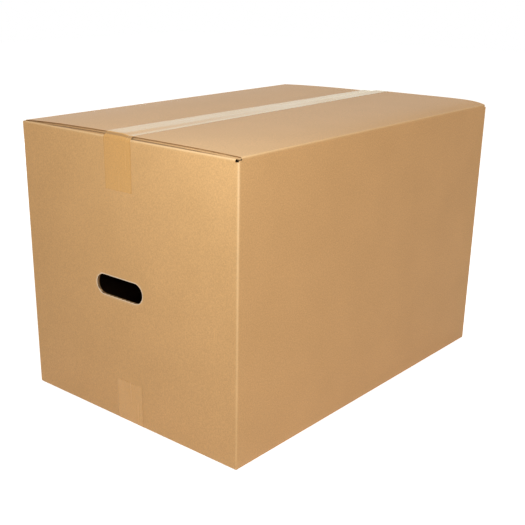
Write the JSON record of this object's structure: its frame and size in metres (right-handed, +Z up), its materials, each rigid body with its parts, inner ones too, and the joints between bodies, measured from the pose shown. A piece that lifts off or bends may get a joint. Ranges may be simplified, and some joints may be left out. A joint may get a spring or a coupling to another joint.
{
  "type": "moving box",
  "caption": "Closed corrugated moving box with a hand hole in each end, shut with packing tape over the lid and base seams.",
  "frame": {"origin": "on the ground, under the middle of the box", "axes": "+X along the length, from the end that the picture shows to the far end; +Y across the width; +Z up"},
  "size_m": [0.6012, 0.4, 0.4062],
  "materials": {
    "kraft_board": "matt brown kraft liner, faintly speckled",
    "packing_tape": "glossy clear film that shows the board through it"
  },
  "bodies": {
    "root": {"carton": "kraft_board", "top_tape": "packing_tape", "bottom_tape": "packing_tape"}
  },
  "joints": []
}
